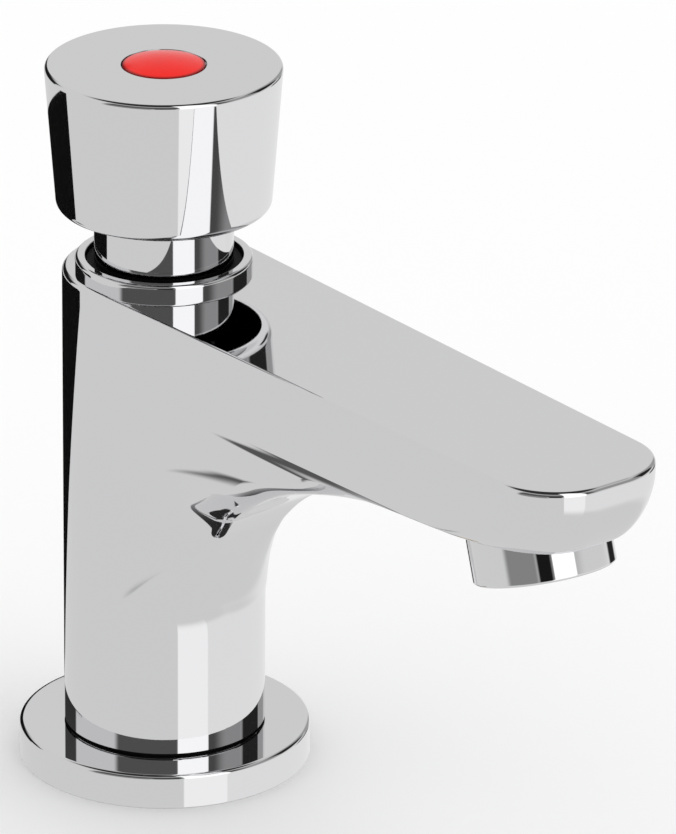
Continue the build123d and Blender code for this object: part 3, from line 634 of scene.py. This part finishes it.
def bodyLoop(reach, half, across, along, inset=0.0):
    # One outline in millimetres: back arc, straight side, oval corner and front, then the same mirrored
    column = bodySizes["column"]
    cornerX, cornerY = half - across, along - reach

    def oval(angle):
        x, y = across * math.cos(angle), along * math.sin(angle)
        spread = math.hypot(x, y)
        return cornerX + across * x / spread, cornerY + along * y / spread, spread

    # the side is square to the angle at which back arc and corner reach equally far
    low, high = -math.pi / 2, 0.02
    for _ in range(50):
        tilt = (low + high) / 2
        far = cornerX * math.cos(tilt) + cornerY * math.sin(tilt) + oval(tilt)[2]
        low, high = (tilt, high) if far > column else (low, tilt)
    points = []
    for step in range(bodySizes["backSteps"]):
        angle = math.pi / 2 + (tilt - math.pi / 2) * step / bodySizes["backSteps"]
        points.append(((column - inset) * math.cos(angle), (column - inset) * math.sin(angle)))
    out = Vector((math.cos(tilt), math.sin(tilt)))
    first, last = out * (column - inset), Vector(oval(tilt)[:2]) - out * inset
    for step in range(bodySizes["sideSteps"]):
        share = (1 - math.cos(math.pi * step / bodySizes["sideSteps"])) / 2
        points.append(tuple(first.lerp(last, share)))
    for step in range(bodySizes["cornerSteps"]):
        angle = tilt + (-math.pi / 2 - tilt) * step / bodySizes["cornerSteps"]
        x, y = oval(angle)[:2]
        points.append((x - inset * math.cos(angle), y - inset * math.sin(angle)))
    for step in range(bodySizes["frontSteps"] + 1):
        share = math.sin(math.pi / 2 * step / bodySizes["frontSteps"])
        points.append((cornerX * (1 - share), -reach + inset))
    mirrored = [(-x, y) for x, y in reversed(points[1:-1])]
    return points + mirrored


def makeBody():
    sizes = bodySizes
    rows = sizes["outline"]
    stations = [0.0]
    for before, after in zip(rows, rows[1:]):
        stations.append(stations[-1] + math.hypot(after[0] - before[0], after[1] - before[1]))
    curves = [naturalCurve(stations, [row[part] for row in rows]) for part in range(5)]
    wallTop = sizes["top"] - sizes["topEdge"]
    footTop, footInset, footEdge = sizes["footTop"], sizes["footInset"], sizes["footEdge"]
    loops = [(bodyLoop(*rows[0][1:], inset), level)
             for inset, level in [(footInset, sizes["flangeTop"]), (footInset, footTop),
                                  (footEdge, footTop), (0.0, footTop + footEdge)]]
    for step in range(1, sizes["levels"]):
        station = stations[-1] * step / sizes["levels"]
        height, *values = [curve(station) for curve in curves]
        if footTop + sizes["footGap"] < height < wallTop - sizes["topGap"]:
            # the round column passes smoothly into the flare
            share = min(1.0, max(0.0, (values[0] - sizes["column"]) / sizes["passing"]))
            share = share * share * (3 - 2 * share)
            values = [low + (value - low) * share for low, value in zip(rows[0][1:], values)]
            values[0] = min(values[0], sizes["reach"])
            loops.append((bodyLoop(*values), height))
    top = rows[-1][1:]
    loops.append((bodyLoop(*top), wallTop - sizes["wallGuard"]))
    for step in range(sizes["topSteps"] + 1):
        angle = math.pi / 2 * step / sizes["topSteps"]
        inset = sizes["topEdge"] * (1 - math.cos(angle))
        loops.append((bodyLoop(*top, inset), wallTop + sizes["topEdge"] * math.sin(angle)))
    flat = bodyLoop(*top, sizes["topEdge"] + sizes["flatGuard"])
    loops.append((flat, sizes["top"]))
    around = len(flat)
    for radius, level in sizes["bore"]:
        ring = []
        for x, y in flat:
            angle = math.atan2(y, x)
            ring.append((radius * math.cos(angle), radius * math.sin(angle)))
        loops.append((ring, level))
    points = [(x * mm, y * mm, level * mm) for loop, level in loops for x, y in loop]
    faces = []
    for row in range(len(loops)):
        low, high = row * around, (row + 1) % len(loops) * around
        for step in range(around):
            ahead = (step + 1) % around
            faces.append((low + step, low + ahead, high + ahead, high + step))
    mesh = bpy.data.meshes.new("tapBody")
    mesh.from_pydata(points, [], faces)
    closeUp(mesh, meshing["bodyCorner"])
    mesh.materials.append(chrome)
    piece = bpy.data.objects.new("tapBody", mesh)
    scene.collection.objects.link(piece)
    return piece


seat(makeBody(), "tap", "chrome", "body")
print("body skinned")


# Turned chrome: flange, ring, neck and outlet

# Each section gives radius, height and rounding of its corners
flangeSizes = {
    "radius": 27.5, "height": 6.7, "edge": 0.8, "footEdge": 0.2, "bore": 10.8, "groove": (20.5, 25.0, 2.2),
}
grooveIn, grooveOut, grooveTop = flangeSizes["groove"]
seat(turnPiece("baseFlange", [
    (flangeSizes["bore"], 0, 0), (grooveIn, 0, 0), (grooveIn, grooveTop, 0), (grooveOut, grooveTop, 0),
    (grooveOut, 0, 0), (flangeSizes["radius"], 0, flangeSizes["footEdge"]),
    (flangeSizes["radius"], flangeSizes["height"], flangeSizes["edge"]),
    (flangeSizes["bore"], flangeSizes["height"], 0),
], chrome), "tap", "chrome", "base_flange")

ringSizes = {
    "foot": 98.65, "shoulder": 99.45, "top": 100.8, "outer": 16.6, "inner": 14.7, "bore": 14.0,
    "outerEdge": 0.7, "innerEdge": 0.25,
}
seat(turnPiece("collarRing", [
    (ringSizes["bore"], ringSizes["foot"], 0), (ringSizes["outer"], ringSizes["foot"], 0),
    (ringSizes["outer"], ringSizes["top"], ringSizes["outerEdge"]),
    (ringSizes["inner"], ringSizes["top"], ringSizes["innerEdge"]),
    (ringSizes["inner"], ringSizes["shoulder"], 0), (ringSizes["bore"], ringSizes["shoulder"], 0),
], chrome), "tap", "chrome", "collar_ring")

neckSizes = {"section": [
    (10.2, 80.15, 0), (12.4, 80.15, 0), (12.4, 84.15, 0), (12.15, 84.15, 0), (12.15, 85.95, 0),
    (13.9, 85.95, 0), (13.9, 99.45, 0), (14.45, 99.45, 0), (14.45, 99.95, 0), (13.0, 99.95, 0),
    (13.0, 116.65, 1.0), (6.05, 116.65, 0), (6.05, 114.55, 0), (6.85, 114.55, 0), (6.85, 113.55, 0),
    (6.05, 113.55, 0), (6.05, 107.55, 0), (5.1, 107.55, 0), (5.1, 105.15, 0), (3.4, 105.15, 0),
    (3.4, 103.15, 0), (10.2, 103.15, 0),
]}
seat(turnPiece("neck", neckSizes["section"], chrome), "tap", "chrome", "bonnet")

outletSizes = {
    "lean": 16.8, "place": (0, -0.1126, 0.0753),
    "section": [(8.8, 0, 0.25), (13.0, 0, 0.5), (13.0, 11.5, 0), (11.2, 11.5, 0), (11.2, 15.5, 0),
                (10.0, 15.5, 0), (10.0, 1.0, 0), (8.8, 1.0, 0)],
}
seat(turnPiece("outletNozzle", outletSizes["section"], chrome, lean=-outletSizes["lean"],
               place=outletSizes["place"]), "tap", "chrome", "nozzle_housing")
print("turned chrome done")


# Threaded tail, its pipe thread wound on the core

tailSizes = {
    "core": 9.33, "crest": 10.47, "root": 9.2, "length": 55.0, "bore": 6.0, "edge": 0.8,
    "rim": 8.0, "recess": 3.0, "spigot": 10.0, "groove": (8.25, 16.1, 17.9), "socket": 22.0,
    "pitch": 1.814, "flank": 0.84, "flat": 0.17, "stepsPerTurn": 48, "steps": 144,
    # the thread grows to its full height in one turn's share of 1 / runout
    "runout": 4.0,
    # foot and number of turns: below the relief, above it
    "windings": [(-54.2, 7.0), (-38.8, 21.0)],
}


def makeTail():
    sizes = tailSizes
    innermost, grooveFoot, grooveEnd = sizes["groove"]
    foot, recess = -sizes["length"], sizes["recess"] - sizes["length"]
    tail = turnPiece("threadedTail", [
        (sizes["bore"], recess, 0), (sizes["rim"], recess, 0),
        (sizes["rim"], foot, 0), (sizes["core"], foot, sizes["edge"]),
        (sizes["core"], 0, 0), (sizes["spigot"], 0, 0), (sizes["spigot"], grooveFoot, 0),
        (innermost, grooveFoot, 0), (innermost, grooveEnd, 0), (sizes["spigot"], grooveEnd, 0),
        (sizes["spigot"], sizes["socket"], 0), (sizes["bore"], sizes["socket"], 0),
    ], brass, steps=sizes["steps"])
    root, crest, flank, flat = [sizes[name] for name in ("root", "crest", "flank", "flat")]
    ridge = [(root, -flank), (crest, -flat), (crest, flat), (root, flank), (root, -flank)]
    joined = bmesh.new()
    joined.from_mesh(tail.data)
    for start, turns in sizes["windings"]:
        wound = grow("tailThread", threading, {
            "Steps": round(turns * sizes["stepsPerTurn"]), "Turns": turns, "Pitch": sizes["pitch"] * mm,
            "Core": root * mm, "Foot": start * mm, "Runout": sizes["runout"], "Finish": brass,
        }, [(radius * mm, 0, height * mm) for radius, height in ridge])
        joined.from_mesh(wound.data)
        bpy.data.objects.remove(wound)
    joined.to_mesh(tail.data)
    joined.free()
    tail.data.set_sharp_from_angle(angle=math.radians(meshing["corner"]))
    return tail


seat(makeTail(), "tap", "brass", "shank_tail")
print("tail threaded")


# Push knob and its red disc

knobSizes = {"steps": 288, "section": [
    (3.05, 124.35, 0), (6.5, 124.35, 0), (6.5, 133.85, 0), (20.0, 133.85, 0), (18.2, 110.6, 0),
    (20.0, 110.6, 1.7), (22.15, 138.35, 0.8), (7.9, 138.35, 0.15), (7.9, 136.75, 0), (4.9, 136.75, 0),
    (4.9, 133.55, 0), (2.2, 133.55, 0), (2.2, 131.35, 0), (3.05, 131.35, 0),
]}
seat(turnPiece("pushKnob", knobSizes["section"], chrome, steps=knobSizes["steps"]),
     "plunger", "chrome", "push_knob")

discSizes = {
    "radius": 7.7, "foot": 136.75, "rim": 138.35, "rimEdge": 0.25, "rise": 1.1, "domeSteps": 14, "steps": 160,
}


def discSection():
    radius, rise, rim, domeSteps = [discSizes[name] for name in ("radius", "rise", "rim", "domeSteps")]
    bulge = (radius ** 2 + rise ** 2) / (2 * rise)
    centre = rim + rise - bulge
    widest = math.asin(radius / bulge)
    dome = [(bulge * math.sin(widest * step / domeSteps),
             centre + bulge * math.cos(widest * step / domeSteps), 0) for step in range(domeSteps)]
    return dome + [(radius, rim, discSizes["rimEdge"]), (radius, discSizes["foot"], 0),
                   (0, discSizes["foot"], 0)]


seat(turnPiece("redDisc", discSection(), redPlastic, steps=discSizes["steps"]),
     "plunger", "red_plastic", "index_disc")
print("knob done")


print("scene whole")
